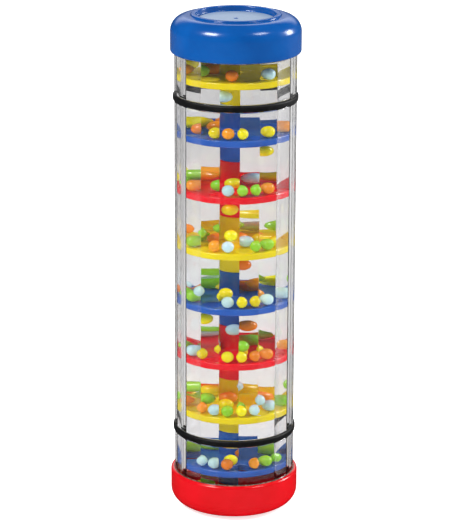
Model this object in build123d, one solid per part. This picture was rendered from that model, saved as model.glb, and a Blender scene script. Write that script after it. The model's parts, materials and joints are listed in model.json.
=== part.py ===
from build123d import *
import os
from math import asin, cos, degrees, hypot, pi, radians, sin, sqrt
from random import Random

# A toddler's rainstick: a clear faceted tube between two moulded caps, with a
# column of coloured baffles inside it and loose beads that trickle down through
# the baffles' drop holes when the stick is turned over.
#
# Millimetres. The stick stands on its red cap: +Z runs up the stick, the origin is
# in the middle of the lower cap's rim, and the front of the stick faces -Y.

# ---------------------------------------------------------------------------
# Driving dimensions
# ---------------------------------------------------------------------------

STICK_LENGTH = 200.0        # from the lower cap's rim to the upper cap's rim

# Clear tube: round outside, a ring of flat facets inside
TUBE_OUTER_R = 23.8
TUBE_CORNER_WALL = 2.1      # thickness where two facets meet, the thinnest place
FACET_COUNT = 18
FACET_CORNER_TURN = 4.3     # degrees from the front of the stick to one facet corner
TUBE_END_CHAMFER = 0.3

# Rubber grip rings, each in a shallow groove round the tube
RING_INSET = 32.5           # middle of a ring from its own end of the stick
RING_WIDTH = 2.7
RING_PROUD = 0.6            # how far a ring stands out of the tube
RING_CORNER_R = 0.8
GROOVE_DEPTH = 1.1
GROOVE_EDGE_R = 0.35
RING_FIT = 0.05             # air between a ring and each wall of its groove

# End caps: a cup over each end of the tube
CAP_HEIGHT = 15.0
CAP_SKIRT_WALL = 1.55
CAP_FIT = 0.05              # glue gap between the tube and a cap
CAP_SHOULDER_R = 6.0
CAP_EDGE_R = 1.1            # rounding of the open edge
CAP_SEAT = 5.2              # end of the tube, in from the cap's rim
CAP_FLOOR = 2.0             # thickness under the recess
RIM_SETBACK = 7.9           # raised rim's outer wall, in from the cap's side
RIM_WIDTH = 2.1
RIM_HEIGHT = 0.8            # rim above the deck round it
RIM_ROUND_R = 0.5
RECESS_DEPTH = 2.1          # hollow inside the rim, below the rim
GATE_MARK_R = 0.8           # pip left by the mould in the middle of the recess
GATE_MARK_HEIGHT = 0.2
LIP_WALL = 1.6              # ring inside the cap that centres the tube
LIP_HEIGHT = 2.5
LIP_FIT = 0.1               # air between the lip and the tube's facets

# Column of baffles
BAFFLE_COUNT = 8
COLUMN_FOOT = 7.7           # lower end of the column, up from the lower rim
COLUMN_HEAD = 13.1          # upper end of the column, down from the upper rim
HUB_R = 3.9
HUB_CHAMFER = 0.25
SPIGOT_R = 2.0
SPIGOT_LENGTH = 2.6
SOCKET_FIT = 0.05           # air round a spigot in its socket
SOCKET_SPARE = 0.4          # socket deeper than its spigot is long
DISC_THICKNESS = 2.6
DISC_FIT = 0.2              # air between a disc and the middle of a facet
DISC_EDGE_R = 0.5
DISC_ROOT_R = 0.8           # fillet where the disc meets the hub
DROP_HOLE_COUNT = 4
DROP_HOLE_R = 3.6
DROP_HOLE_RIM = 1.15        # web left between a drop hole and the disc's edge
DROP_HOLE_EDGE_R = 0.4

# The baffles sit on their spigots at any angle. Degrees from the front of the stick
# to each one's first drop hole, from the bottom baffle up.
BAFFLE_TURNS = (10, 35, 64, 59, 12, 69, 24, 50)

# Beads: round, all one size, four colours
BEAD_D = 4.5
BEAD_GAP = 0.15             # air left round every bead
BEAD_COLOURS = {"O": "orange", "Y": "yellow", "G": "green", "B": "pale_blue"}
ROW_STEP = 16.0             # degrees from one place in a front row to the next

# Where the beads lie, from the lowest chamber up. The first text is the row along
# the front wall, from left to right, one letter for each place and a dot for an
# empty one. The second text is the beads heaped over the rest of the floor.
CHAMBER_BEADS = (
    ("..........", "OOOOYYYYGGGB"),
    ("..BBOGOGG.", "OOGGGBY"),
    ("OOOBGYBO.G", "OOOOOOYYYYYYGGGGGBBB"),
    (".BY.YYOO.G", "OOOOOYYYYYGGGGGGBBBB"),
    ("GGO.BYYBBB", "OOOOOYYYYYGGGGGGBBBBBB"),
    ("GG.OBBGG..", "OOOOOOYYYYYYYGGGGGGBB"),
    ("GO..BGGO..", "OOOOYYYYYYGGGBB"),
    ("...YOY.Y.O", "OOYYO"),
    ("O......BY.", "OOYG"),
)
HEAP_SEED = 2
HEAP_CHOICES = 4            # spots that a heaped bead tries, taking the lowest

# Beads on their way down: chamber, colour, turn from the front in degrees, share of
# the way from the hub to the wall, and share of the way from the roof to the floor
FALLING_BEADS = (
    (3, "B", 13, 0.23, 0.53),
    (4, "B", -6, 0.22, 0.46),
    (4, "Y", -54, 0.58, 0.18),
    (4, "O", 41, 0.14, 0.41),
    (5, "O", 23, 0.28, 0.17),
    (6, "Y", -13, 0.23, 0.18),
    (7, "Y", 62, 0.53, 0.15),
    (8, "B", -25, 0.20, 0.19),
)

# ---------------------------------------------------------------------------
# Sizes worked out from them
# ---------------------------------------------------------------------------

tube_corner_r = TUBE_OUTER_R - TUBE_CORNER_WALL
facet_r = tube_corner_r * cos(pi / FACET_COUNT)      # axis to the middle of a facet
bore_r = TUBE_OUTER_R + CAP_FIT
cap_r = bore_r + CAP_SKIRT_WALL
rim_r = cap_r - RIM_SETBACK
lip_r = facet_r - LIP_FIT
lip_bore_r = lip_r - LIP_WALL
cap_floor_z = RECESS_DEPTH + CAP_FLOOR               # inside of the cup
lip_top_z = CAP_SEAT + LIP_HEIGHT
socket_r = SPIGOT_R + SOCKET_FIT
socket_depth = SPIGOT_LENGTH + SOCKET_SPARE
disc_r = facet_r - DISC_FIT
drop_hole_pitch_r = disc_r - DROP_HOLE_RIM - DROP_HOLE_R
pitch = (STICK_LENGTH - COLUMN_FOOT - COLUMN_HEAD) / BAFFLE_COUNT
bead_r = BEAD_D / 2
bead_space = bead_r + BEAD_GAP                        # bead's middle to what it lies on

os.makedirs("parts", exist_ok=True)


def save(name, shape):
    """Writes one node to its own STEP file."""
    shape.label = name
    export_step(shape, f"parts/{name}.step")


def turned(outline, rounds):
    """Solid of revolution about Z from (radius, height) points.

    rounds lists (point, radius) for the corners that are filleted.
    """
    profile = make_face(Polyline(outline, close=True))
    for point, radius in rounds:
        corner = profile.vertices().sort_by_distance(Vector(*point))[0]
        profile = fillet(corner, radius)
    return revolve(Plane.XZ * profile, Axis.Z)


def front_point(radius, turn):
    """x and y at a radius and a turn in degrees from the front, positive to +X."""
    return radius * sin(radians(turn)), -radius * cos(radians(turn))


# ---------------------------------------------------------------------------
# Clear tube and its grip rings
# ---------------------------------------------------------------------------


def tube_shell():
    """Faceted tube with two ring grooves, open at both ends."""
    end_z = (CAP_SEAT, STICK_LENGTH - CAP_SEAT)
    wall = [(0, end_z[0]), (TUBE_OUTER_R, end_z[0])]
    rounds = []
    floor_r = TUBE_OUTER_R - GROOVE_DEPTH
    half = RING_WIDTH / 2 + RING_FIT
    for middle in (RING_INSET, STICK_LENGTH - RING_INSET):
        lower, upper = middle - half, middle + half
        wall += [(TUBE_OUTER_R, lower), (floor_r, lower)]
        wall += [(floor_r, upper), (TUBE_OUTER_R, upper)]
        rounds += [((TUBE_OUTER_R, lower), GROOVE_EDGE_R), ((floor_r, lower), GROOVE_EDGE_R)]
        rounds += [((floor_r, upper), GROOVE_EDGE_R), ((TUBE_OUTER_R, upper), GROOVE_EDGE_R)]
    wall += [(TUBE_OUTER_R, end_z[1]), (0, end_z[1])]
    tube = turned(wall, rounds)
    tube = chamfer(tube.edges().group_by(Axis.Z)[0], TUBE_END_CHAMFER)
    tube = chamfer(tube.edges().group_by(Axis.Z)[-1], TUBE_END_CHAMFER)
    facet_turn = (FACET_CORNER_TURN - 90) % (360 / FACET_COUNT)
    hollow = RegularPolygon(tube_corner_r, FACET_COUNT, rotation=facet_turn)
    return tube - extrude(hollow, STICK_LENGTH)


def grip_ring(middle):
    """Oval-section rubber ring in the groove at height middle."""
    inner_r = TUBE_OUTER_R - GROOVE_DEPTH + RING_FIT
    outer_r = TUBE_OUTER_R + RING_PROUD
    section = RectangleRounded(outer_r - inner_r, RING_WIDTH, RING_CORNER_R)
    section = Plane.XZ * Pos((inner_r + outer_r) / 2, middle) * section
    return revolve(section, Axis.Z)


save("tube_shell", tube_shell())
save("grip_ring_lower", grip_ring(RING_INSET))
save("grip_ring_upper", grip_ring(STICK_LENGTH - RING_INSET))

# ---------------------------------------------------------------------------
# End caps
# ---------------------------------------------------------------------------


def end_cap(boss_z):
    """Cap standing on its rim at z = 0, with its mouth up and a boss to boss_z."""
    outline = [
        (0, RECESS_DEPTH - GATE_MARK_HEIGHT),
        (GATE_MARK_R, RECESS_DEPTH - GATE_MARK_HEIGHT),
        (GATE_MARK_R, RECESS_DEPTH),
        (rim_r - RIM_WIDTH, RECESS_DEPTH),
        (rim_r - RIM_WIDTH, 0),
        (rim_r, 0),
        (rim_r, RIM_HEIGHT),
        (cap_r, RIM_HEIGHT),
        (cap_r, CAP_HEIGHT),
        (bore_r, CAP_HEIGHT),
        (bore_r, CAP_SEAT),
        (lip_r, CAP_SEAT),
        (lip_r, lip_top_z),
        (lip_bore_r, lip_top_z),
        (lip_bore_r, cap_floor_z),
        (HUB_R, cap_floor_z),
        (HUB_R, boss_z),
        (0, boss_z),
    ]
    rounds = [
        ((rim_r - RIM_WIDTH, RECESS_DEPTH), RIM_ROUND_R),
        ((rim_r - RIM_WIDTH, 0), RIM_ROUND_R),
        ((rim_r, 0), RIM_ROUND_R),
        ((rim_r, RIM_HEIGHT), RIM_HEIGHT - RIM_ROUND_R),
        ((cap_r, RIM_HEIGHT), CAP_SHOULDER_R),
        ((cap_r, CAP_HEIGHT), CAP_EDGE_R),
        ((lip_r, lip_top_z), LIP_WALL / 4),
        ((lip_bore_r, cap_floor_z), LIP_WALL / 4),
        ((HUB_R, cap_floor_z), DISC_ROOT_R),
    ]
    return turned(outline, rounds)


def spigot(z):
    """Short pin standing on z that locates the hub above it."""
    pin = Pos(0, 0, z) * Cylinder(SPIGOT_R, SPIGOT_LENGTH, align=(Align.CENTER, Align.CENTER, Align.MIN))
    return chamfer(pin.edges().group_by(Axis.Z)[-1], HUB_CHAMFER)


def socket(z):
    """Blind hole upwards from z that a spigot fits."""
    return Pos(0, 0, z) * Cylinder(socket_r, socket_depth, align=(Align.CENTER, Align.CENTER, Align.MIN))


cap_bottom = end_cap(COLUMN_FOOT) + spigot(COLUMN_FOOT)
cap_top = Pos(0, 0, STICK_LENGTH) * Rot(180, 0, 0) * end_cap(COLUMN_HEAD)
cap_top = cap_top - socket(STICK_LENGTH - COLUMN_HEAD)
save("cap_bottom", cap_bottom)
save("cap_top", cap_top)

# ---------------------------------------------------------------------------
# Baffles
# ---------------------------------------------------------------------------


def drop_hole_places(turn):
    """Middles of one baffle's drop holes, in x and y."""
    steps = [turn + i * 360 / DROP_HOLE_COUNT for i in range(DROP_HOLE_COUNT)]
    return [front_point(drop_hole_pitch_r, step) for step in steps]


def baffle(z, turn):
    """One moulding: a hub from z to z + pitch with the disc at its middle."""
    low, high = z + pitch / 2 - DISC_THICKNESS / 2, z + pitch / 2 + DISC_THICKNESS / 2
    outline = [
        (0, z), (HUB_R, z), (HUB_R, low), (disc_r, low),
        (disc_r, high), (HUB_R, high), (HUB_R, z + pitch), (0, z + pitch),
    ]
    rounds = [
        ((disc_r, low), DISC_EDGE_R), ((disc_r, high), DISC_EDGE_R),
        ((HUB_R, low), DISC_ROOT_R), ((HUB_R, high), DISC_ROOT_R),
    ]
    body = turned(outline, rounds)
    ends = body.edges().filter_by(GeomType.CIRCLE).group_by(Axis.Z)
    body = chamfer(ends[0] + ends[-1], HUB_CHAMFER)
    for x, y in drop_hole_places(turn):
        body -= Pos(x, y, (low + high) / 2) * Cylinder(DROP_HOLE_R, 2 * DISC_THICKNESS)
    mouths = body.edges().filter_by(
        lambda e: e.geom_type == GeomType.CIRCLE and abs(e.radius - DROP_HOLE_R) < 1e-6
    )
    body = fillet(mouths, DROP_HOLE_EDGE_R)
    return body + spigot(z + pitch) - socket(z)


for index in range(BAFFLE_COUNT):
    save(f"baffle_{index + 1}", baffle(COLUMN_FOOT + index * pitch, BAFFLE_TURNS[index]))

# ---------------------------------------------------------------------------
# Beads
# ---------------------------------------------------------------------------


def chamber_floor(chamber):
    """Height of a chamber's floor, its wall radius and the drop holes in its floor."""
    if chamber == 1:
        return cap_floor_z, lip_bore_r, []
    middle = COLUMN_FOOT + (chamber - 1.5) * pitch
    return middle + DISC_THICKNESS / 2, facet_r, drop_hole_places(BAFFLE_TURNS[chamber - 2])


def chamber_roof(chamber):
    """Height that a chamber's beads can rise to."""
    if chamber == BAFFLE_COUNT + 1:
        return STICK_LENGTH - lip_top_z
    return COLUMN_FOOT + (chamber - 0.5) * pitch - DISC_THICKNESS / 2


def falling_places():
    """Places of the falling beads, (chamber, letter, x, y, z) for each, and their drop."""
    places, drops = [], []
    for chamber, letter, turn, out, down in FALLING_BEADS:
        floor_z, wall_r, _ = chamber_floor(chamber)
        free_height = chamber_roof(chamber) - floor_z - 2 * bead_space
        radius = HUB_R + bead_space + out * (wall_r - HUB_R - 2 * bead_space)
        x, y = front_point(radius, turn)
        drop = (1 - down) * free_height
        places.append((chamber, letter, x, y, floor_z + bead_space + drop))
        drops.append(drop)
    return places, min(drops)


def bead_places(front_row, heaped, chamber, falling, random):
    """Places of one chamber's beads: (letter, x, y, z) for each.

    The front row lies on the floor against the wall. The others are dropped one by
    one, and each comes to rest on the floor or on the first bead that it meets, at the
    lowest of a few spots. A bead in the row with a drop hole under it is dropped too.
    All of them keep out from under the falling beads.
    """
    floor_z, wall_r, holes = chamber_floor(chamber)
    apart = BEAD_D + BEAD_GAP
    outer, inner = wall_r - bead_space, HUB_R + bead_space
    step = max(ROW_STEP, degrees(2 * asin(apart / 2 / outer)) + 0.1)
    placed = []

    def resting_z(x, y):
        """Height of a bead dropped at x, y, or None where it can't stay."""
        z = floor_z + bead_space
        for _, px, py, pz in placed:
            aside = hypot(x - px, y - py)
            if aside < apart:
                z = max(z, pz + sqrt(apart**2 - aside**2))
        over_hole = any(hypot(x - hx, y - hy) < DROP_HOLE_R + 2 * BEAD_GAP for hx, hy in holes)
        sinks = over_hole and z < floor_z + bead_space + bead_r
        below = any(hypot(x - fx, y - fy) < apart for c, _, fx, fy, _ in falling if c == chamber)
        return None if sinks or below else z

    loose = list(heaped)
    for place, letter in enumerate(front_row):
        x, y = front_point(outer, (place - (len(front_row) - 1) / 2) * step)
        if letter != "." and resting_z(x, y) == floor_z + bead_space:
            placed.append((letter, x, y, floor_z + bead_space))
        elif letter != ".":
            loose.append(letter)
    random.shuffle(loose)

    for letter in loose:
        spots = []
        while len(spots) < HEAP_CHOICES:
            radius = sqrt(inner**2 + (outer**2 - inner**2) * random.random())
            x, y = front_point(radius, 360 * random.random())
            z = resting_z(x, y)
            if z is not None:
                spots.append((z, x, y))
        z, x, y = min(spots)
        placed.append((letter, x, y, z))
    return placed


def save_beads(group, places):
    """Writes one node for each colour among these (letter, x, y, z) places."""
    for letter, colour in BEAD_COLOURS.items():
        beads = [Pos(x, y, z) * Sphere(bead_r) for bead, x, y, z in places if bead == letter]
        if beads:
            save(f"{group}_{colour}", Compound(beads))


falling, fall = falling_places()
save_beads("falling_beads", [place[1:] for place in falling])
print(f"{len(falling)} falling beads, fall {fall:.2f} mm")

heap_random = Random(HEAP_SEED)
for chamber, (front_row, heaped) in enumerate(CHAMBER_BEADS, start=1):
    beads = bead_places(front_row, heaped, chamber, falling, heap_random)
    save_beads(f"chamber_{chamber}_beads", beads)
    heap_top = max(z for *_, z in beads) + bead_r
    rise = chamber_roof(chamber) - BEAD_GAP - heap_top
    print(f"chamber {chamber}: {len(beads)} beads, heap {heap_top - chamber_floor(chamber)[0]:.2f} mm, "
          f"rise {rise:.2f} mm")

print(f"pitch {pitch:.2f} mm, cap radius {cap_r:.2f} mm, disc radius {disc_r:.2f} mm")
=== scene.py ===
# %% [markdown]
# # A toddler's rainstick
#
# This lesson dresses a rainstick: a clear tube with a coloured cap on each end, a
# column of eight pierced discs inside it, and loose beads that trickle from disc to
# disc. The mechanical model already says where everything is and what moves. Here we
# make what the eye reads: clear plastic that bends the view, glossy mouldings with
# their small marks, rubber, and beads that are each a little different.
#
# The first cell loads the mechanical model as a fixed frame. Its nodes sit at the
# origin with their place in their meshes, in metres, +Z up the stick and the front
# of the stick towards -Y.

# %% Load the frame
import json
import math

import bpy
import numpy as np
from mathutils import Matrix, Vector


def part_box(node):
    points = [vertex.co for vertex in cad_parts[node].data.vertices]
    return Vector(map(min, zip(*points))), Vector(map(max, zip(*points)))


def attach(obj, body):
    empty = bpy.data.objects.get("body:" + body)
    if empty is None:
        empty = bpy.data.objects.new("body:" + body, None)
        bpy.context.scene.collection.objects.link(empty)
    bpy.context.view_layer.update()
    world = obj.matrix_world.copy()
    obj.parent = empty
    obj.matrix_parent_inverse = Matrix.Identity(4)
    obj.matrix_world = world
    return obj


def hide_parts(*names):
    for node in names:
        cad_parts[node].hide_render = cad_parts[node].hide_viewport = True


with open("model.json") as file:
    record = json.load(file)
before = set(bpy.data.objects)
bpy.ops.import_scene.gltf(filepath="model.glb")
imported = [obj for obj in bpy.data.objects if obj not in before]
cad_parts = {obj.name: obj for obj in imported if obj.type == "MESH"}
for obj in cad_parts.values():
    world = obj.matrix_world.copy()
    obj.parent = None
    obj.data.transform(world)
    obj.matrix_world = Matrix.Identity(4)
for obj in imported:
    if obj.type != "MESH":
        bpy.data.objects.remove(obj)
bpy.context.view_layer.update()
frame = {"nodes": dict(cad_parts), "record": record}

# %% [markdown]
# ## Lengths that the lesson uses
#
# Millimetres are easier to think in than metres on an object this small, so one
# constant turns them into Blender's units. Every place comes from the frame: the
# height of a bead or the end of the tube is read from a node's box or from its
# points, never guessed.

# %% Millimetres, boxes and points
MM = 0.001


def low(node):
    """Lowest corner of a node's box."""
    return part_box(node)[0]


def high(node):
    """Highest corner of a node's box."""
    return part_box(node)[1]


def node_points(node):
    """Every point of a node, as an array with one row for each."""
    vertices = frame["nodes"][node].data.vertices
    points = np.zeros(3 * len(vertices), np.float32)
    vertices.foreach_get("co", points)
    return points.reshape(-1, 3)


def least_radius(node):
    """Distance from the axis to the nearest point of a node: the root of x squared plus y squared."""
    return np.hypot(*node_points(node)[:, :2].T).min()


stick_height = high("cap_top").z
tube_r = high("tube_shell").x
tube_ends = (low("tube_shell").z, high("tube_shell").z)
print(f"stick {stick_height / MM:.1f} mm tall, tube radius {tube_r / MM:.2f} mm")

# %% [markdown]
# ## Surfaces from arrays
#
# Each new piece is a grid of points worked out with numpy. A grid has rows and
# columns; its faces are the squares between neighbours, and a side that closes on
# itself wraps round. Writing whole arrays with `foreach_set` is quick, and it keeps
# the formula for the shape in one place, where it can be read.

# %% Faces of a grid, and points round an axis


def grid_faces(rows, columns, wrap_rows=False):
    """Corner numbers of the squares of a grid whose columns close on themselves.

    The point in row i and column j has the number i * columns + j, and its square joins it
    to the points one column on, one row and column on, and one row on.
    """
    top = rows if wrap_rows else rows - 1
    row, column = np.meshgrid(np.arange(top), np.arange(columns), indexing="ij")
    next_row, next_column = (row + 1) % rows, (column + 1) % columns
    corners = np.stack([
        row * columns + column, row * columns + next_column,
        next_row * columns + next_column, next_row * columns + column,
    ], axis=-1)
    return corners.reshape(-1, 4)


def around_axis(radius, turn, height):
    """Points at this distance from the axis, turned this far from the front, at this height.

    They are radius * sin(turn), -radius * cos(turn) and height. The same formula carries a
    direction of a profile round the axis.
    """
    return np.stack(np.broadcast_arrays(radius * np.sin(turn), -radius * np.cos(turn), height), axis=-1)


# %% A mesh from points and faces


def add_piece(name, points, faces, normals=None):
    """Object with a mesh of these points and faces, shaded smooth.

    normals, where given, holds one direction for each point and is used as it is.
    """
    mesh = bpy.data.meshes.new(name)
    corners = np.concatenate([np.asarray(f).ravel() for f in faces])
    sizes = np.concatenate([np.full(len(f), np.asarray(f).shape[1]) for f in faces])
    starts = np.concatenate([[0], np.cumsum(sizes)[:-1]])
    mesh.vertices.add(len(points))
    mesh.vertices.foreach_set("co", np.asarray(points, np.float32).ravel())
    mesh.loops.add(len(corners))
    mesh.loops.foreach_set("vertex_index", corners.astype(np.int32))
    mesh.polygons.add(len(sizes))
    mesh.polygons.foreach_set("loop_start", starts.astype(np.int32))
    mesh.update(calc_edges=True)
    mesh.validate()
    mesh.polygons.foreach_set("use_smooth", np.ones(len(sizes), bool))
    if normals is not None:
        mesh.normals_split_custom_set_from_vertices(np.asarray(normals, np.float32))
    piece = bpy.data.objects.new(name, mesh)
    bpy.context.scene.collection.objects.link(piece)
    print(f"{name}: {len(points)} points, {len(sizes)} faces")
    return piece


# %% [markdown]
# ## A profile with rounded corners
#
# A turned part is a profile carried round an axis. Real mouldings have no sharp
# corners, and the small radii are what catches the light, so the profile is given as
# corner points, each with its own radius. The function below swaps each corner for an
# arc and keeps the exact direction that the surface faces at every point. Exact
# normals matter most on clear plastic: a normal that is a degree off bends the whole
# view behind it.

# %% Corners to arcs


def rounded_profile(corners, radii, steps):
    """Points and outward normals of a closed profile with its corners rounded.

    An arc of radius r starts r * tan(turn / 2) before its corner and ends as far
    after it. Its points are the arc's centre plus r in directions that swing evenly
    from the first side's normal to the second's. The profile runs anticlockwise.
    """
    corners, radii = np.asarray(corners, float), np.asarray(radii, float)
    before = corners - np.roll(corners, 1, axis=0)
    after = np.roll(corners, -1, axis=0) - corners
    before /= np.linalg.norm(before, axis=1, keepdims=True)
    after /= np.linalg.norm(after, axis=1, keepdims=True)
    turn = np.arctan2(before[:, 0] * after[:, 1] - before[:, 1] * after[:, 0], (before * after).sum(1))
    side = np.sign(turn)
    start = corners - before * (radii * np.tan(np.abs(turn) / 2))[:, None]
    outward = np.stack([before[:, 1], -before[:, 0]], axis=1)
    centre = start - outward * (radii * side)[:, None]
    swing = turn[:, None] * np.linspace(0, 1, steps)[None, :]
    normal = np.stack([
        outward[:, :1] * np.cos(swing) - outward[:, 1:] * np.sin(swing),
        outward[:, :1] * np.sin(swing) + outward[:, 1:] * np.cos(swing),
    ], axis=-1)
    points = centre[:, None, :] + normal * (radii * side)[:, None, None]
    return points.reshape(-1, 2), normal.reshape(-1, 2)


# %% [markdown]
# ## The clear tube
#
# The tube is injection moulded in clear styrene: round outside, with eighteen flat
# facets inside, so each strip of wall is thin in its middle and works as a weak lens.
# That is why the beads behind it look cut into blocks. The mechanical model has this
# shape too, but as triangles of uneven size. Refraction shows every one of them, so
# this piece is made again as an even grid with exact normals, and it replaces the
# node.
#
# Round the tube, the inner wall's distance from the axis is the facet's distance
# divided by the cosine of the angle from the facet's middle.

# %% Sizes of the tube, from its node
FACETS = 18
FACET_TURN = 4.3             # degrees from the front to one corner between facets
FACET_COLUMNS = 13
CORNER_SOFTNESS = 0.25       # degrees each side of a corner that are rounded over
RING_GAP = 0.05 * MM         # between a rubber ring and the groove it sits in
GROOVE_ROUND = 0.35 * MM
END_ROUND = 0.3 * MM
ARC_STEPS = 6

groove_r = least_radius("grip_ring_lower") - RING_GAP
facet_corner_r = least_radius("tube_shell")
facet_r = facet_corner_r * math.cos(math.pi / FACETS)
print(f"facet corners {facet_corner_r / MM:.2f} mm from the axis, grooves {groove_r / MM:.2f} mm")

# %% The tube's outline and its columns


def tube_profile():
    """Outline of the tube's wall, from its lower outer corner up and back down inside."""
    corners = [(tube_r, tube_ends[0])]
    radii = [END_ROUND]
    for ring in ("grip_ring_lower", "grip_ring_upper"):
        bottom, top = low(ring).z - RING_GAP, high(ring).z + RING_GAP
        corners += [(tube_r, bottom), (groove_r, bottom), (groove_r, top), (tube_r, top)]
        radii += [GROOVE_ROUND] * 4
    corners += [(tube_r, tube_ends[1]), (facet_r, tube_ends[1]), (facet_r, tube_ends[0])]
    radii += [END_ROUND] * 3
    return rounded_profile(corners, radii, ARC_STEPS)


def facet_columns():
    """Turn of each column from the front, and the turn of its facet's middle, in radians."""
    half = math.radians(180 / FACETS - CORNER_SOFTNESS)
    middles = math.radians(FACET_TURN + 180 / FACETS) + np.arange(FACETS) * 2 * math.pi / FACETS
    turns = middles[:, None] + np.linspace(-half, half, FACET_COLUMNS)[None, :]
    return turns.ravel(), np.repeat(middles, FACET_COLUMNS)


# %% The tube's surface


def make_tube():
    """Tube as one closed surface: the profile carried round, with the inner side faceted.

    A point of the profile is inside when it lies past the middle of the wall. Its distance
    from the axis is then stretched by 1 / cos(angle from the facet's middle), and it faces
    along the facet's middle and not along its own turn.
    """
    profile, normal = tube_profile()
    turn, middle = facet_columns()
    depth = (tube_r - profile[:, :1]) / (tube_r - facet_r)
    inside = np.where(depth > 0.5, depth, 0.0)
    stretch = 1 + inside * (1 / np.cos(turn - middle) - 1)[None, :]
    points = around_axis(profile[:, :1] * stretch, turn, profile[:, 1:])
    facing = np.where(inside > 0.5, middle[None, :], turn[None, :])
    normals = around_axis(normal[:, :1], facing, normal[:, 1:])
    faces = grid_faces(len(profile), len(turn), wrap_rows=True)
    return add_piece("clear_tube", points.reshape(-1, 3), [faces], normals.reshape(-1, 3))


clear_tube = make_tube()
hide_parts("tube_shell")
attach(clear_tube, "stick")

# %% [markdown]
# ## Cement at the cap mouths
#
# The tube is cemented into both caps, and a little of the cement is squeezed out
# where the cap's mouth meets the tube. It sets as a narrow hollow fillet whose height
# wanders. Its section is a square corner with a quarter circle cut out of it, carried
# round the tube; the height is a sum of a few sine waves of the angle.

# %% Cement fillets
CEMENT_SIZE = 0.35 * MM
CEMENT_COLUMNS = 180
CEMENT_STEPS = 6
CEMENT_WAVES = ((0.22, 3, 0.7), (0.16, 7, 2.1), (0.1, 17, 0.0))   # share, waves round, start


def make_cement(name, mouth_z, away):
    """Fillet from the mouth of a cap along the tube; away is +1 upwards, -1 downwards.

    The hollow side runs from (size, 0) to (0, size) on a circle about (size, size).
    """
    swing = np.linspace(0, math.pi / 2, CEMENT_STEPS)
    out = np.concatenate([[0.0], 1 - np.sin(swing)])[:, None]
    up = np.concatenate([[0.0], 1 - np.cos(swing)])[:, None]
    turn = np.arange(CEMENT_COLUMNS) * 2 * math.pi / CEMENT_COLUMNS
    wander = 1 + sum(share * np.sin(waves * turn + start) for share, waves, start in CEMENT_WAVES)
    points = around_axis(tube_r + out * CEMENT_SIZE, turn, mouth_z + away * up * CEMENT_SIZE * wander)
    faces = grid_faces(len(out), CEMENT_COLUMNS, wrap_rows=True)
    piece = add_piece(name, points.reshape(-1, 3), [faces[:, ::-1] if away < 0 else faces])
    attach(piece, "stick")
    return piece


cement_lower = make_cement("cement_lower", stick_height - low("cap_top").z, 1)
cement_upper = make_cement("cement_upper", low("cap_top").z, -1)

# %% [markdown]
# ## Beads
#
# A bead is moulded in two halves. It keeps a faint seam round its middle and a small
# flat at one pole where it was gated, and each one lies turned its own way. One bead
# is a grid in latitude and longitude with about a hundred faces, since there are
# nearly two hundred of them; all the beads of a group are that template, turned and
# moved at once by array arithmetic. Their places are read from the mechanical model's
# spheres: the highest point of a group is the top of a bead, one radius over its
# middle, and once that bead's points are taken away the next highest is another top.

# %% Where the beads are
BEAD_REACH = 1.02            # radii round a middle within which a point belongs to that bead

bead_nodes = [name for name in sorted(frame["nodes"]) if "beads_" in name]
bead_r = min(high(name).z - low(name).z for name in bead_nodes) / 2


def bead_middles(node):
    """Middle of each sphere in a node, found from the top down."""
    points = node_points(node)
    middles = []
    while len(points):
        middle = points[np.argmax(points[:, 2])] - [0, 0, bead_r]
        points = points[np.linalg.norm(points - middle, axis=1) > BEAD_REACH * bead_r]
        middles.append(middle)
    return np.array(middles)


bead_total = sum(len(bead_middles(name)) for name in bead_nodes)
print(f"{bead_total} beads of {2 * bead_r / MM:.2f} mm in {len(bead_nodes)} groups")

# %% [markdown]
# ### The template bead
#
# Rows of latitude lie close together at the middle, where the seam needs them, and
# the two poles are closed by fans of triangles.

# %% One bead
BEAD_LATITUDES = np.radians([64, 40, 19, 1.8, -1.8, -19, -40, -64])
BEAD_COLUMNS = 12
SEAM_HEIGHT = 0.012          # share of the radius that the seam stands up
SEAM_EDGE = math.radians(2)
GATE_FLAT = 0.03             # share of the radius that the gate's flat is cut back


def pole_fans(top, bottom):
    """Triangles from each pole to the row next to it; top and bottom are the poles' numbers."""
    here = np.arange(BEAD_COLUMNS)
    beside = (here + 1) % BEAD_COLUMNS
    last_row = (len(BEAD_LATITUDES) - 1) * BEAD_COLUMNS
    upper = np.stack([np.full(BEAD_COLUMNS, top), here, beside], axis=1)
    lower = np.stack([np.full(BEAD_COLUMNS, bottom), last_row + beside, last_row + here], axis=1)
    return np.concatenate([upper, lower])


def bead_template():
    """Unit bead: radius 1, a little more within the seam and a little less at the gated pole.

    A point lies at radius * cos(latitude) from the bead's axis and radius * sin(latitude)
    along it.
    """
    latitude = np.concatenate([[math.pi / 2], BEAD_LATITUDES, [-math.pi / 2]])
    radius = 1 + SEAM_HEIGHT * (np.abs(latitude) < SEAM_EDGE)
    radius[0] -= GATE_FLAT
    longitude = np.arange(BEAD_COLUMNS) * 2 * math.pi / BEAD_COLUMNS
    rows = (radius * np.cos(latitude))[1:-1, None]
    heights = np.repeat((radius * np.sin(latitude))[1:-1, None], BEAD_COLUMNS, axis=1)
    ring = np.stack([rows * np.cos(longitude), rows * np.sin(longitude), heights], axis=-1)
    points = np.concatenate([ring.reshape(-1, 3), [[0, 0, radius[0]], [0, 0, -radius[-1]]]])
    quads = grid_faces(len(BEAD_LATITUDES), BEAD_COLUMNS)[:, ::-1]
    return points, quads, pole_fans(len(points) - 2, len(points) - 1)


template_points, template_quads, template_fans = bead_template()
print(f"one bead: {len(template_points)} points, {len(template_quads) + len(template_fans)} faces")

# %% [markdown]
# ### Beads in their groups
#
# Every bead gets its own random turn. A quaternion is four numbers; drawn from a bell
# curve and scaled to length one, it is equally likely to be any turn at all. Each
# bead also gets a tone between 0 and 1, which its finish reads further down.

# %% Random turns and groups of beads
BEAD_SEED = 11


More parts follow.
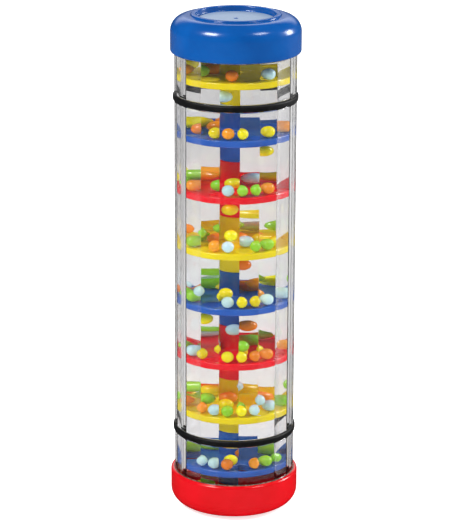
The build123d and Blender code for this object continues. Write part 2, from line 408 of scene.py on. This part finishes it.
def random_turns(count, random):
    """count rotations, as matrices, from unit quaternions spread evenly over all turns."""
    spread = random.normal(size=(count, 4))
    w, x, y, z = spread.T / np.linalg.norm(spread, axis=1)
    return np.stack([
        1 - 2 * (y * y + z * z), 2 * (x * y - z * w), 2 * (x * z + y * w),
        2 * (x * y + z * w), 1 - 2 * (x * x + z * z), 2 * (y * z - x * w),
        2 * (x * z - y * w), 2 * (y * z + x * w), 1 - 2 * (x * x + y * y),
    ], axis=-1).reshape(count, 3, 3)


def make_beads(node, random):
    """All the beads of one node as one piece, with a tone from 0 to 1 for each bead."""
    middles = bead_middles(node)
    size = bead_r * (1 - SEAM_HEIGHT)
    turned = np.einsum("bij,pj->bpi", random_turns(len(middles), random), template_points) * size
    placed = middles[:, None, :] + turned
    shift = (np.arange(len(middles)) * len(template_points))[:, None, None]
    piece = add_piece("moulded_" + node, placed.reshape(-1, 3), [
        (template_quads[None] + shift).reshape(-1, 4), (template_fans[None] + shift).reshape(-1, 3)])
    tones = np.repeat(random.random(len(middles)), len(template_points))
    tone = piece.data.attributes.new("bead_tone", "FLOAT", "POINT")
    tone.data.foreach_set("value", tones.astype(np.float32))
    return piece


bead_random = np.random.default_rng(BEAD_SEED)
body_of_node = {n: body for body, ns in frame["record"]["behaviour"]["bodies"].items() for n in ns}
bead_pieces = {}
for node in bead_nodes:
    piece = make_beads(node, bead_random)
    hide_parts(node)
    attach(piece, body_of_node[node])
    bead_pieces[node] = piece

# %% [markdown]
# ## Finishes
#
# Every material starts from a Principled shader. What makes plastic look moulded is
# small: a skin that isn't quite flat, slight drift in the colour where it flowed, and
# hairline marks from handling. These three effects serve several materials, so each
# is a node group with named inputs, and each material gives it its own values.
#
# A node tree written out in full is hard to read, so a few helpers come first. One
# makes an empty group, one adds a node, and the rest each add one kind of node, take
# numbers or sockets alike, and give back what comes out of it.

# %% Short helpers for node trees
FLOAT, COLOUR = "NodeSocketFloat", "NodeSocketColor"


def new_group(name, inputs, outputs):
    """Empty shader node group with these sockets: (name, kind, default) for each input."""
    group = bpy.data.node_groups.new(name, "ShaderNodeTree")
    for label, kind, default in inputs:
        group.interface.new_socket(label, in_out="INPUT", socket_type=kind).default_value = default
    for label, kind in outputs:
        group.interface.new_socket(label, in_out="OUTPUT", socket_type=kind)
    print("group", name, "with inputs", [label for label, _, _ in inputs])
    return group, group.nodes.new("NodeGroupInput"), group.nodes.new("NodeGroupOutput")


def add_node(tree, kind, links=(), **settings):
    """Node of this kind. links is (input, source socket or value) pairs."""
    node = tree.nodes.new(kind)
    for key, value in settings.items():
        setattr(node, key, value)
    for name, source in links:
        if isinstance(source, bpy.types.NodeSocket):
            tree.links.new(source, node.inputs[name])
        else:
            node.inputs[name].default_value = source
    return node


# %% Helpers for numbers and colours


def compute(tree, operation, first, second=None, clamp=False):
    """Result of a Math node on one or two values."""
    values = [(0, first)] if second is None else [(0, first), (1, second)]
    return add_node(tree, "ShaderNodeMath", values, operation=operation, use_clamp=clamp).outputs[0]


def remap(tree, value, start, end, low_value, high_value, curve="LINEAR"):
    """low_value up to start, high_value from end on, and between them in between."""
    return add_node(tree, "ShaderNodeMapRange", [
        ("Value", value), ("From Min", start), ("From Max", end),
        ("To Min", low_value), ("To Max", high_value),
    ], interpolation_type=curve).outputs[0]


def blend(tree, share, first, second):
    """Number that goes from first to second as share goes from 0 to 1."""
    return add_node(tree, "ShaderNodeMix", [(0, share), (2, first), (3, second)]).outputs[0]


def blend_colours(tree, share, first, second):
    """Colour that goes from first to second as share goes from 0 to 1."""
    pairs = [(0, share), (6, first), (7, second)]
    return add_node(tree, "ShaderNodeMix", pairs, data_type="RGBA").outputs[2]


def object_place(tree):
    """Place in the object, in metres. It stays with the surface when a body moves."""
    return add_node(tree, "ShaderNodeTexCoord").outputs["Object"]


def per_size(tree, size_mm):
    """Noise scale whose features are this many millimetres wide."""
    return compute(tree, "DIVIDE", 1 / MM, size_mm)


def noise(tree, place, scale, **values):
    """Noise from about 0.3 to 0.7, with its values set by name."""
    pairs = [("Vector", place), ("Scale", scale), *values.items()]
    return add_node(tree, "ShaderNodeTexNoise", pairs).outputs["Fac"]


# %% [markdown]
# ### Moulded skin
#
# The skin of a moulding is a height map of two noises: a fine orange peel, and a
# broad waviness where the plastic shrank. The group gives out a height in
# millimetres for a Bump node to use.

# %% Group: moulded skin


def make_skin_group():
    """Height of the skin: fine grain plus broad waves, each with its size and depth."""
    group, given, result = new_group(
        "moulded_skin",
        [("Grain size", FLOAT, 0.5), ("Grain depth", FLOAT, 0.002), ("Wave size", FLOAT, 8.0),
         ("Wave depth", FLOAT, 0.02)],
        [("Height", FLOAT)],
    )
    place = object_place(group)
    heights = []
    for layer, detail in (("Grain", 2.0), ("Wave", 1.0)):
        bumps = noise(group, place, per_size(group, given.outputs[layer + " size"]), Detail=detail)
        heights.append(compute(group, "MULTIPLY", bumps, given.outputs[layer + " depth"]))
    group.links.new(compute(group, "ADD", *heights), result.inputs["Height"])
    return group


moulded_skin = make_skin_group()

# %% [markdown]
# ### Hairline marks
#
# A rub leaves fine, nearly straight lines. Noise stretched thirty times along one
# direction and cut to a narrow band of its values gives such lines; two layers at
# different turns keep them from looking combed. A second, broader noise keeps them to
# patches, because nothing is rubbed evenly. The group gives out a mask.

# %% Group: hairline marks
HAIRLINE_TURNS = ((0.3, 0.9, 0.4), (1.2, -0.5, 2.1))    # radians about X, Y and Z, for each layer
HAIRLINE_STRETCH = (1.0, 1.0, 0.035)
PATCH_SCALE = 120.0          # patches about 8 mm wide


def make_hairline_group():
    """Mask of fine scratches: where stretched noise crosses its middle value."""
    group, given, result = new_group(
        "hairline_marks",
        [("Size", FLOAT, 6.0), ("Width", FLOAT, 0.012), ("Amount", FLOAT, 0.5)],
        [("Mask", FLOAT)],
    )
    place = object_place(group)
    scale = per_size(group, given.outputs["Size"])
    layers = []
    for turn in HAIRLINE_TURNS:
        stretched = add_node(group, "ShaderNodeMapping", [
            ("Vector", place), ("Rotation", turn), ("Scale", HAIRLINE_STRETCH)]).outputs[0]
        grain = noise(group, stretched, scale, Detail=1.0, Distortion=0.15)
        near = compute(group, "ABSOLUTE", compute(group, "SUBTRACT", grain, 0.5))
        layers.append(compute(group, "LESS_THAN", near, given.outputs["Width"]))
    patches = remap(group, noise(group, place, PATCH_SCALE, Detail=2.0), 0.5, 0.75, 0.0, 1.0)
    masked = compute(group, "MULTIPLY", compute(group, "MAXIMUM", *layers), patches)
    group.links.new(compute(group, "MULTIPLY", masked, given.outputs["Amount"]), result.inputs["Mask"])
    return group


hairline_marks = make_hairline_group()

# %% [markdown]
# ### Colour drift
#
# Coloured plastic is never one exact colour. Slow noise moves it a little between a
# deeper and a lighter version of itself. The group also gives out the noise as a
# mask, so that a finish can change its gloss in the same patches.

# %% Group: colour drift


def make_drift_group():
    """Colour that drifts between a deeper and a lighter one with slow noise."""
    group, given, result = new_group(
        "colour_drift",
        [("Deep", COLOUR, (0.1, 0.1, 0.1, 1)), ("Light", COLOUR, (0.2, 0.2, 0.2, 1)),
         ("Size", FLOAT, 12.0)],
        [("Colour", COLOUR), ("Mask", FLOAT)],
    )
    scale = per_size(group, given.outputs["Size"])
    slow = noise(group, object_place(group), scale, Detail=3.0, Roughness=0.55)
    mask = remap(group, slow, 0.3, 0.7, 0.0, 1.0)
    colour = blend_colours(group, mask, given.outputs["Deep"], given.outputs["Light"])
    group.links.new(colour, result.inputs["Colour"])
    group.links.new(mask, result.inputs["Mask"])
    return group


colour_drift = make_drift_group()

# %% [markdown]
# ### Steps that every finish takes
#
# Every material below starts with its Principled shader, places groups in its tree
# and ends with a Bump node whose height is in millimetres.

# %% Start, group and bump


def new_finish(name, **values):
    """New material, its node tree and its Principled shader, with single values set by name."""
    material = bpy.data.materials.new(name)
    material.use_nodes = True
    shader = material.node_tree.nodes["Principled BSDF"]
    for label, value in values.items():
        shader.inputs[label.replace("_", " ")].default_value = value
    print("finish", name)
    return material, material.node_tree, shader


def use_group(tree, group, **values):
    """Places a node group and sets its inputs by name, with _ for a space."""
    node = add_node(tree, "ShaderNodeGroup", node_tree=group)
    for label, value in values.items():
        node.inputs[label.replace("_", " ")].default_value = value
    return node


def bump_from(tree, shader, height):
    """Tilts the shader's normal by a height in millimetres."""
    bump = add_node(tree, "ShaderNodeBump", [("Height", height), ("Distance", MM)])
    tree.links.new(bump.outputs[0], shader.inputs["Normal"])


def paint(node, material):
    """Gives a node of the frame this material."""
    frame["nodes"][node].data.materials.clear()
    frame["nodes"][node].data.materials.append(material)


# %% [markdown]
# ### The matt floor of a recess, and its painted reflection
#
# The round floor of each cap's recess is duller and paler than the rest: a mould's flat
# is often left matt, and the pale colour is a painted reflection of the bright room,
# mirrored in the floor at a low angle. It is one surface with the cap, so it can't have a
# material of its own. A mask picks it out by its height and its distance from the axis,
# both read from the cap's own faces.

# %% Find the recess floor
# Pale colour painted on each recess floor: a painted reflection of the bright room at a low angle.
RECESS_PAINTED_REFLECTION = (0.25, 0.33, 0.46, 1)
RECESS_ROUGHNESS = 0.5
RECESS_MARGIN = 0.03 * MM    # a point this near the floor's height is on it
STRAIGHT_OUT = 0.999         # least share of a normal along the axis, for a face that looks out
HEIGHT_DIGITS = 5            # heights in metres are told apart to a hundredth of a millimetre


def recess_floor(node, way):
    """Height and radius of the flat floor of a cap's recess; way is +1 on top, -1 at the bottom.

    Among the faces that look straight out of the cap, the floor is the height that holds the
    most area, and its radius is the square root of that area over pi.
    """
    faces = frame["nodes"][node].data.polygons
    area, normal, middle = np.zeros(len(faces)), np.zeros(3 * len(faces)), np.zeros(3 * len(faces))
    faces.foreach_get("area", area)
    faces.foreach_get("normal", normal)
    faces.foreach_get("center", middle)
    flat = way * normal.reshape(-1, 3)[:, 2] > STRAIGHT_OUT
    rounded = np.round(middle.reshape(-1, 3)[flat, 2], HEIGHT_DIGITS)
    heights, which = np.unique(rounded, return_inverse=True)
    held = np.bincount(which, weights=area[flat])
    height, radius = float(heights[held.argmax()]), math.sqrt(held.max() / math.pi)
    print(f"{node}: recess floor at {height / MM:.2f} mm, radius {radius / MM:.2f} mm")
    return height, radius


def recess_mask(tree, height, radius):
    """Mask that is 1 on a round floor of this height and radius, and 0 off it."""
    parts = add_node(tree, "ShaderNodeSeparateXYZ", [(0, object_place(tree))])
    away = compute(tree, "ABSOLUTE", compute(tree, "SUBTRACT", parts.outputs["Z"], height))
    level = compute(tree, "LESS_THAN", away, RECESS_MARGIN)
    flat = add_node(tree, "ShaderNodeCombineXYZ", [("X", parts.outputs["X"]), ("Y", parts.outputs["Y"])])
    reach = add_node(tree, "ShaderNodeVectorMath", [(0, flat.outputs[0])], operation="LENGTH")
    within = compute(tree, "LESS_THAN", reach.outputs["Value"], radius)
    return compute(tree, "MULTIPLY", level, within)


# %% [markdown]
# ### A moulded plastic
#
# The caps, baffles and beads are all glossy moulded plastic, so one function builds
# them: the drift group feeds the colour, the hairlines roughen the gloss, and skin
# and hairlines together feed the bump. A bead also reads its own tone, because beads
# come from many batches, and lets a little light in under its skin.

# %% Function: moulded plastic
PLASTIC_IOR = 1.5
HAIRLINE_DULLING = 0.35      # added roughness in a hairline
HAIRLINE_DEPTH = 0.004       # millimetres
TONE_BRIGHTNESS = (0.84, 1.12)
TONE_HUE = (0.488, 0.512)


def toned(tree, colour, attribute):
    """Colour shifted in brightness and hue by an attribute that runs from 0 to 1."""
    tone = add_node(tree, "ShaderNodeAttribute", attribute_name=attribute, attribute_type="GEOMETRY")
    value = remap(tree, tone.outputs["Fac"], 0.0, 1.0, *TONE_BRIGHTNESS)
    hue = remap(tree, tone.outputs["Fac"], 0.0, 1.0, *TONE_HUE)
    return add_node(tree, "ShaderNodeHueSaturation", [
        ("Color", colour), ("Value", value), ("Hue", hue)]).outputs["Color"]


def moulded_plastic(name, deep, light, skin, marks=None, gloss=0.16, tone=None, recess=None, **values):
    """Glossy plastic whose colour runs from deep to light (linear colours).

    tone names an attribute that shifts the colour, and recess is the height and radius of
    a round floor that is left matt, with a pale painted reflection.
    """
    material, tree, shader = new_finish(name, IOR=PLASTIC_IOR, **values)
    colour = use_group(tree, colour_drift, Deep=(*deep, 1), Light=(*light, 1)).outputs["Colour"]
    lines = use_group(tree, hairline_marks, **(marks or {})).outputs["Mask"]
    rough = remap(tree, lines, 0.0, 1.0, gloss, gloss + HAIRLINE_DULLING)
    if tone:
        colour = toned(tree, colour, tone)
    if recess:
        # On the recess floor the mask sets a matt roughness and a pale colour that is a painted
        # reflection.
        matt = recess_mask(tree, *recess)
        colour = blend_colours(tree, matt, colour, RECESS_PAINTED_REFLECTION)
        rough = blend(tree, matt, rough, RECESS_ROUGHNESS)
    tree.links.new(colour, shader.inputs["Base Color"])
    tree.links.new(rough, shader.inputs["Roughness"])
    height = use_group(tree, moulded_skin, **skin).outputs["Height"]
    cut = compute(tree, "MULTIPLY", lines, -HAIRLINE_DEPTH)
    bump_from(tree, shader, compute(tree, "ADD", height, cut))
    return material


# %% [markdown]
# ### Caps
#
# The caps have the best finish of all the mouldings: a fine skin, a gloss that is a
# little soft, and few hairlines. A deep, nearly pure blue and red need almost nothing
# in their other channels, because a trace of grey shows as haze.

# %% Caps
CAP_GLOSS = 0.2
cap_skin = {"Grain_size": 0.7, "Grain_depth": 0.0008, "Wave_size": 9.0, "Wave_depth": 0.008}
cap_marks = {"Size": 4.0, "Width": 0.006, "Amount": 0.25}
cap_colours = {
    "cap_top": ("blue_cap", (0.0, 0.066, 0.29), (0.0, 0.084, 0.35), 1),
    "cap_bottom": ("red_cap", (0.6, 0.0, 0.003), (0.68, 0.0, 0.006), -1),
}
for node, (finish_name, deep, light, way) in cap_colours.items():
    paint(node, moulded_plastic(finish_name, deep, light, cap_skin, cap_marks, gloss=CAP_GLOSS,
                                recess=recess_floor(node, way)))

# %% [markdown]
# ### Baffles
#
# Each baffle's colour is in the record's slot for its node, so the loop reads it from
# there. The discs are thin and cool unevenly, so their skin is wavier than the caps'.

# %% Baffles
baffle_skin = {"Grain_size": 0.5, "Grain_depth": 0.001, "Wave_size": 6.0, "Wave_depth": 0.015}
baffle_colours = {
    "blue": ((0.014, 0.1, 0.48), (0.024, 0.13, 0.58)),
    "yellow": ((0.9, 0.7, 0.0), (0.97, 0.8, 0.002)),
    "red": ((0.9, 0.0, 0.01), (0.98, 0.003, 0.02)),
}
baffle_finish = {
    colour: moulded_plastic(colour + "_baffle", deep, light, baffle_skin)
    for colour, (deep, light) in baffle_colours.items()
}
slot_of_node = {s["node"]: s["material_slot"] for s in frame["record"]["subparts"]}
for node in frame["nodes"]:
    if node.startswith("baffle_"):
        paint(node, baffle_finish[slot_of_node[node].split("_")[0]])

# %% [markdown]
# ### Beads
#
# Four colours, one material each. The tone attribute moves every bead a little from
# its neighbours, and a short subsurface distance softens the shaded side.

# %% Bead finishes
BEAD_GLOSS = 0.22
BEAD_GLOW = 0.15             # share of the light that goes in under the skin
BEAD_GLOW_COLOURS = (1.0, 0.8, 0.5)
BEAD_GLOW_REACH = 0.8 * MM
bead_colours = {
    "orange": ((0.98, 0.26, 0.008), (1.0, 0.36, 0.02)),
    "yellow": ((0.94, 0.78, 0.002), (1.0, 0.9, 0.008)),
    "green": ((0.27, 0.68, 0.02), (0.42, 0.84, 0.05)),
    "pale_blue": ((0.55, 0.84, 0.9), (0.7, 0.94, 0.96)),
}
bead_skin = {"Grain_size": 0.4, "Grain_depth": 0.0015, "Wave_size": 2.0, "Wave_depth": 0.02}
bead_marks = {"Size": 2.0, "Amount": 0.4}
for colour, (deep, light) in bead_colours.items():
    finish = moulded_plastic(
        colour + "_bead", deep, light, bead_skin, bead_marks, gloss=BEAD_GLOSS, tone="bead_tone",
        Subsurface_Weight=BEAD_GLOW, Subsurface_Radius=BEAD_GLOW_COLOURS, Subsurface_Scale=BEAD_GLOW_REACH,
    )
    for node, piece in bead_pieces.items():
        if node.endswith("beads_" + colour):
            piece.data.materials.append(finish)

# %% [markdown]
# ### Rubber rings
#
# Black rubber is darker than any paint, but it isn't one black: a powdery bloom
# lightens and dulls it in patches. The drift group's mask drives colour and roughness
# together, so the pale patches are also the dull ones.

# %% Rubber
RUBBER_DEEP = (0.002, 0.002, 0.002, 1)
RUBBER_LIGHT = (0.008, 0.008, 0.009, 1)
RUBBER_ROUGHNESS = (0.42, 0.62)
rubber_skin = {"Grain_size": 0.25, "Grain_depth": 0.01, "Wave_size": 3.0, "Wave_depth": 0.03}


def ring_rubber():
    """Black rubber: matt, with a fine powdery bloom that lightens it in patches."""
    material, tree, shader = new_finish("black_rubber", Specular_IOR_Level=0.3)
    drift = use_group(tree, colour_drift, Deep=RUBBER_DEEP, Light=RUBBER_LIGHT, Size=1.5)
    tree.links.new(drift.outputs["Colour"], shader.inputs["Base Color"])
    rough = remap(tree, drift.outputs["Mask"], 0.0, 1.0, *RUBBER_ROUGHNESS)
    tree.links.new(rough, shader.inputs["Roughness"])
    bump_from(tree, shader, use_group(tree, moulded_skin, **rubber_skin).outputs["Height"])
    return material


rubber = ring_rubber()
for ring in ("grip_ring_lower", "grip_ring_upper"):
    paint(ring, rubber)

# %% [markdown]
# ### Clear styrene
#
# Light from a lamp can't find its way through a refracting wall in a path tracer
# without a great many samples, so what is inside would stay dark. The usual cure is a
# Light Path node: a shadow ray or a diffuse ray sees plain transparency, and only
# rays that make the picture are bent. Hairlines roughen the wall where it was rubbed.

# %% Clear styrene
STYRENE_IOR = 1.57
STYRENE_SPECULAR = 0.12
STYRENE_DEEP = (0.735, 0.73, 0.73, 1)
STYRENE_LIGHT = (0.77, 0.765, 0.765, 1)
STYRENE_SHADOW = (0.98, 0.985, 0.985, 1)     # tint of light that goes straight through
RUBBED_ROUGHNESS = 0.12
styrene_skin = {"Grain_size": 2.0, "Grain_depth": 0.0002, "Wave_size": 14.0, "Wave_depth": 0.012}


def clear_styrene():
    """Clear plastic that lets lamp light straight through, so what is inside is lit."""
    material, tree, shader = new_finish(
        "clear_styrene", Transmission_Weight=1.0, IOR=STYRENE_IOR, Specular_IOR_Level=STYRENE_SPECULAR)
    drift = use_group(tree, colour_drift, Deep=STYRENE_DEEP, Light=STYRENE_LIGHT, Size=30.0)
    tree.links.new(drift.outputs["Colour"], shader.inputs["Base Color"])
    lines = use_group(tree, hairline_marks, Size=5.0, Width=0.008, Amount=0.5)
    rough = remap(tree, lines.outputs["Mask"], 0.0, 1.0, 0.0, RUBBED_ROUGHNESS)
    tree.links.new(rough, shader.inputs["Roughness"])
    bump_from(tree, shader, use_group(tree, moulded_skin, **styrene_skin).outputs["Height"])
    through = add_node(tree, "ShaderNodeBsdfTransparent", [("Color", STYRENE_SHADOW)])
    path = add_node(tree, "ShaderNodeLightPath")
    lamp_ray = compute(tree, "MAXIMUM", path.outputs["Is Shadow Ray"], path.outputs["Is Diffuse Ray"])
    mix = add_node(tree, "ShaderNodeMixShader", [
        (0, lamp_ray), (1, shader.outputs[0]), (2, through.outputs[0])])
    tree.links.new(mix.outputs[0], tree.nodes["Material Output"].inputs["Surface"])
    return material


clear_tube.data.materials.append(clear_styrene())

# %% [markdown]
# ### Set cement
#
# Set cement is half clear and honey coloured, cloudier in some places than in others,
# and it dries with a lumpy skin.

# %% Set cement
CEMENT_CLARITY = 0.5
CEMENT_DEEP = (0.1, 0.06, 0.04, 1)
CEMENT_LIGHT = (0.34, 0.26, 0.2, 1)
CEMENT_ROUGHNESS = (0.12, 0.35)
cement_skin = {"Grain_size": 0.4, "Grain_depth": 0.01, "Wave_size": 3.0, "Wave_depth": 0.05}


def set_cement():
    """Honey-coloured cement: half-clear plastic with a warm tint, cloudy in places."""
    material, tree, shader = new_finish("set_cement", Transmission_Weight=CEMENT_CLARITY, IOR=PLASTIC_IOR)
    drift = use_group(tree, colour_drift, Deep=CEMENT_DEEP, Light=CEMENT_LIGHT, Size=4.0)
    tree.links.new(drift.outputs["Colour"], shader.inputs["Base Color"])
    rough = remap(tree, drift.outputs["Mask"], 0.0, 1.0, *CEMENT_ROUGHNESS)
    tree.links.new(rough, shader.inputs["Roughness"])
    bump_from(tree, shader, use_group(tree, moulded_skin, **cement_skin).outputs["Height"])
    return material


cement = set_cement()
for fillet in (cement_lower, cement_upper):
    fillet.data.materials.append(cement)

# %% [markdown]
# ## Stage, light and camera
#
# Reflections are kept apart from light. In a studio, black cloth is hung in front of
# clear plastic, because a white room mirrored in it would wash out what is inside. A
# Light Path node does the same: a ray that was mirrored on the outside finds the
# floor and the front of the room nearly black, and only a bright band low at the
# back. A ray that was mirrored inside the clear wall finds a grey floor and room, and
# that grey draws the edges of the tube. Once a ray has gone through the wall and is
# mirrored by a disc or a bead, it finds dark grey, so no haze lies on their colours.

# %% Mirrored rays
ONE_WALL = 2.5               # a ray that has crossed one wall has been bent twice


def by_ray(tree, plain, outside, inside, beyond):
    """Value that is plain, but changes on a mirrored ray. Each is a number or a socket.

    A ray mirrored before it enters the clear wall finds outside. One that has crossed one
    wall, in and out, finds inside, and one that has crossed more finds beyond.
    """
    path = add_node(tree, "ShaderNodeLightPath")
    mirrored = compute(tree, "GREATER_THAN", path.outputs["Glossy Depth"], 0.5)
    unlit = compute(tree, "SUBTRACT", mirrored, path.outputs["Is Diffuse Ray"], clamp=True)
    found = outside
    for crossings, value in ((0.5, inside), (ONE_WALL, beyond)):
        crossed = compute(tree, "GREATER_THAN", path.outputs["Transmission Depth"], crossings)
        found = blend(tree, crossed, found, value)
    return blend(tree, unlit, plain, found)


# %% [markdown]
# ### Floor
#
# The floor is a pale matt sheet. A glow of its own lifts it to the clean white of a
# lit table. The camera sees that glow in full, and any other ray only a part of it,
# so that it doesn't pour light onto the stick or into the tube.

# %% Floor
FLOOR_SIZE = 3.0
FLOOR_WHITE = 0.93
FLOOR_OUTSIDE = (0.03, 0.13)       # what a ray mirrored outside finds in front and behind
FLOOR_INSIDE = (0.3, 0.75)         # what a ray mirrored inside the clear wall finds there
FLOOR_BEYOND = 0.1                 # what a ray mirrored by the discs and beads finds
FLOOR_CHANGE = 0.2                 # metres over which the front value turns to the one behind
OUTSIDE_END = 0.3                  # metres behind the stick where that change ends, for outside
INSIDE_END = 0.05                  # and for inside
FLOOR_GLOW = 0.7                   # glow that the camera sees
FLOOR_FILL = 0.2                   # glow that every other ray finds


def floor_finish():
    """Matt white that shows other values to mirrored rays."""
    material, tree, shader = new_finish(
        "pale_floor", Roughness=0.9, Specular_IOR_Level=0.0, Emission_Color=(1, 1, 1, 1))
    depth = add_node(tree, "ShaderNodeSeparateXYZ", [(0, object_place(tree))]).outputs["Y"]
    outside = remap(tree, depth, OUTSIDE_END - FLOOR_CHANGE, OUTSIDE_END, *FLOOR_OUTSIDE)
    inside = remap(tree, depth, INSIDE_END - FLOOR_CHANGE, INSIDE_END, *FLOOR_INSIDE)
    tree.links.new(by_ray(tree, FLOOR_WHITE, outside, inside, FLOOR_BEYOND), shader.inputs["Base Color"])
    path = add_node(tree, "ShaderNodeLightPath")
    glow = blend(tree, path.outputs["Is Camera Ray"], FLOOR_FILL, FLOOR_GLOW)
    tree.links.new(by_ray(tree, glow, 0.0, 0.0, 0.0), shader.inputs["Emission Strength"])
    return material


def make_floor():
    """Pale sheet under the stick, well past the view."""
    half = FLOOR_SIZE / 2
    points = np.array([[-half, -half, 0], [half, -half, 0], [half, half, 0], [-half, half, 0]])
    sheet = add_piece("floor", points, [np.array([[0, 1, 2, 3]])])
    sheet.data.materials.append(floor_finish())


make_floor()

# %% [markdown]
# ### Room
#
# The room lights the stick from all round, more from the back, which is what makes
# coloured plastic behind a clear wall glow. It is a smooth gradient and not a
# picture, so its rays needn't be aimed: turning that off keeps the gradient out of
# the gloss, where it would show as haze.

# %% World
ROOM_LIGHT = (0.38, 0.9)     # light from the front and from the back of the room
LIGHT_CHANGE = (-0.9, 0.5)   # depth of a direction, from -1 in front to 1 behind, where it changes
ROOM_SEEN = 1.05             # how bright the room itself looks, also through the tube
ROOM_DARK = 0.03             # what a ray mirrored outside finds nearly everywhere
ROOM_BAND = 1.4              # what it finds low at the back
BAND_RISE = (0.15, 0.27)     # height of a direction, from 0 level to 1 overhead, where the band starts
BAND_FALL = (0.4, 0.75)      # and where it ends
BAND_BACK = (0.75, 0.93)     # how far back a direction points, from 0 sideways to 1, where it starts
ROOM_INSIDE = (0.3, 1.0)     # what a ray mirrored inside the clear wall finds in front and behind
INSIDE_CHANGE = (-0.6, 0.0)  # depth of a direction where that changes
ROOM_BEYOND = 0.12           # what a ray mirrored by the discs and beads finds


def studio_world():
    """Room that looks white, lights from all round and mirrors dark in front, bright behind.

    The bright band is the product of three smooth steps: up from the horizon, down
    towards the ceiling, and in towards the back.
    """
    world = bpy.data.worlds.new("studio")
    world.use_nodes = True
    tree = world.node_tree
    place = add_node(tree, "ShaderNodeTexCoord").outputs["Generated"]
    parts = add_node(tree, "ShaderNodeSeparateXYZ", [(0, place)]).outputs

    def step(axis, start, end, low_value, high_value):
        return remap(tree, parts[axis], start, end, low_value, high_value, curve="SMOOTHSTEP")

    rise = compute(tree, "MULTIPLY", step("Z", *BAND_RISE, 0.0, 1.0), step("Z", *BAND_FALL, 1.0, 0.0))
    band = compute(tree, "MULTIPLY", rise, step("Y", *BAND_BACK, 0.0, 1.0))
    mirrored = remap(tree, band, 0.0, 1.0, ROOM_DARK, ROOM_BAND)
    inside = step("Y", *INSIDE_CHANGE, *ROOM_INSIDE)
    path = add_node(tree, "ShaderNodeLightPath").outputs
    seen = compute(tree, "MAXIMUM", path["Is Camera Ray"], path["Is Transmission Ray"])
    direct = blend(tree, seen, step("Y", *LIGHT_CHANGE, *ROOM_LIGHT), ROOM_SEEN)
    background = tree.nodes["Background"].inputs
    tree.links.new(by_ray(tree, direct, mirrored, inside, ROOM_BEYOND), background["Strength"])
    background["Color"].default_value = (1, 1, 1, 1)
    world.cycles.sampling_method = "NONE"
    bpy.context.scene.world = world


studio_world()

# %% [markdown]
# ### Lamps
#
# Three softboxes stand to the left, to the right and at the side. Each makes a bright
# mark where a glossy surface faces halfway between the camera and the lamp, so a
# lamp's azimuth moves its mark sideways, and its elevation moves it up and down.

# %% Lamps
LAMP_AIM = 0.6               # share of the stick's height that the lamps face


def softbox(name, azimuth, elevation, distance, size, power):
    """Rectangular lamp facing the stick. Azimuth is in degrees from the front, positive to +X."""
    a, e = math.radians(azimuth), math.radians(elevation)
    target = Vector((0, 0, stick_height * LAMP_AIM))
    out = Vector((math.sin(a) * math.cos(e), -math.cos(a) * math.cos(e), math.sin(e)))
    data = bpy.data.lights.new(name, "AREA")
    data.shape, data.size, data.size_y, data.energy = "RECTANGLE", size[0], size[1], power
    lamp = bpy.data.objects.new(name, data)
    lamp.location = target + out * distance
    lamp.rotation_euler = out.to_track_quat("Z", "Y").to_euler()
    bpy.context.scene.collection.objects.link(lamp)
    print(f"{name}: {azimuth} degrees round, {elevation} up, {power} W")


softbox("left_softbox", -53, 45, 1.1, (0.35, 0.25), 9.0)
softbox("right_softbox", 56, 49, 1.2, (0.35, 0.2), 3.5)
softbox("side_softbox", 109, 18, 1.0, (0.25, 0.3), 6.0)

# %% [markdown]
# ### Camera
#
# A long lens from about a metre away looks down on the stick at a little over sixteen
# degrees, so the cap's recess and the tops of the discs show.

# %% Camera
CAMERA_PLACE = (0.0, -0.9452, 0.3779)
CAMERA_LENS = 169.39         # millimetres
CAMERA_PITCH = 16.43         # degrees down
CAMERA_YAW = 0.069           # degrees, as is the roll
CAMERA_ROLL = 0.2425


def make_camera():
    """Long-lens camera in front of the stick, turned by yaw, then pitch, then roll."""
    data = bpy.data.cameras.new("camera")
    data.lens = CAMERA_LENS
    camera = bpy.data.objects.new("camera", data)
    yaw = Matrix.Rotation(math.radians(CAMERA_YAW), 4, "Z")
    pitch = Matrix.Rotation(math.radians(90 - CAMERA_PITCH), 4, "X")
    roll = Matrix.Rotation(math.radians(CAMERA_ROLL), 4, "Z")
    camera.matrix_world = Matrix.Translation(CAMERA_PLACE) @ (yaw @ pitch) @ roll
    bpy.context.scene.collection.objects.link(camera)
    bpy.context.scene.camera = camera


make_camera()
bpy.context.scene.view_settings.view_transform = "Standard"
